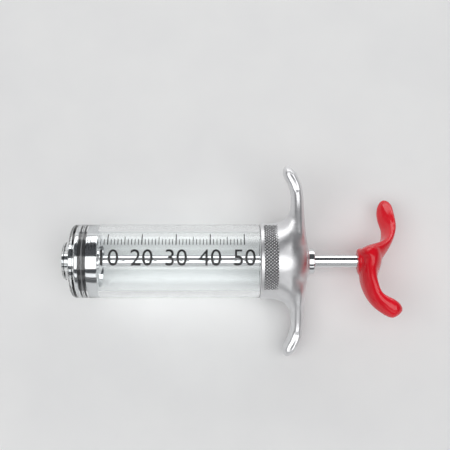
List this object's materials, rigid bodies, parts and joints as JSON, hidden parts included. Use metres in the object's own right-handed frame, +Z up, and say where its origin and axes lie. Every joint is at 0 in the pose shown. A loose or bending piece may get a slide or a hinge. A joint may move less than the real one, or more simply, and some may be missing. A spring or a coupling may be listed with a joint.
{
  "type": "meat injector",
  "caption": "Hand syringe for injecting marinade: clear barrel, cast finger grip with wings, sealed piston on a rod, red palm handle and a threaded needle socket.",
  "frame": {"origin": "middle of the needle socket's mouth, on the barrel's axis", "axes": "-X out of the needle socket along the barrel's axis, +X towards the palm handle, the finger wings along +Y and -Y, +Z up"},
  "size_m": [0.1592, 0.088, 0.0372],
  "materials": {
    "clear_barrel": "clear, polished",
    "bright_metal": "polished plating",
    "cast_metal": "satin, brushed along the axis",
    "core_metal": "plain casting, covered",
    "seal_rubber": "smooth black",
    "red_dip": "glossy soft dip",
    "bush_plastic": "natural plastic",
    "hub_plastic": "grey plastic",
    "steel": "plain steel"
  },
  "bodies": {
    "barrel_body": {"barrel": "clear_barrel", "nozzle_insert": "bright_metal", "nozzle_seal": "seal_rubber", "nozzle_lock_ring": "bright_metal"},
    "piston_rings": {"piston_ring_front": "seal_rubber", "piston_ring_rear": "seal_rubber"},
    "plunger": {"piston_screw": "steel", "piston_washer": "steel", "piston_front_disc": "bright_metal", "piston_hub": "hub_plastic", "piston_rear_disc": "bright_metal", "plunger_rod": "bright_metal", "handle_core": "core_metal", "handle_cover": "red_dip"},
    "grip_gasket": {"barrel_gasket": "seal_rubber"},
    "grip": {"finger_grip": "cast_metal", "rod_bush": "bush_plastic", "rod_ring_front": "seal_rubber", "rod_ring_rear": "seal_rubber", "gland_washer": "steel", "gland_nut": "bright_metal"}
  },
  "joints": [
    {"name": "plunger_slide", "type": "slide", "parent": "barrel_body", "child": "piston_rings", "axis": [1, 0, 0], "range_m": [0, 0.08]},
    {"name": "plunger_spin", "type": "hinge", "parent": "piston_rings", "child": "plunger", "pos_m": [0.13, 0, 0], "axis": [1, 0, 0], "continuous": true},
    {"name": "grip_advance", "type": "slide", "parent": "barrel_body", "child": "grip_gasket", "axis": [1, 0, 0], "range_m": [0, 0.0085]},
    {"name": "grip_unscrew", "type": "hinge", "parent": "grip_gasket", "child": "grip", "pos_m": [0.1, 0, 0], "axis": [1, 0, 0], "range_deg": [0, 1440]}
  ],
  "couplings": [
    {"joint": "grip_advance", "follows": "grip_unscrew", "m_per_rad": 0.00031831}
  ]
}
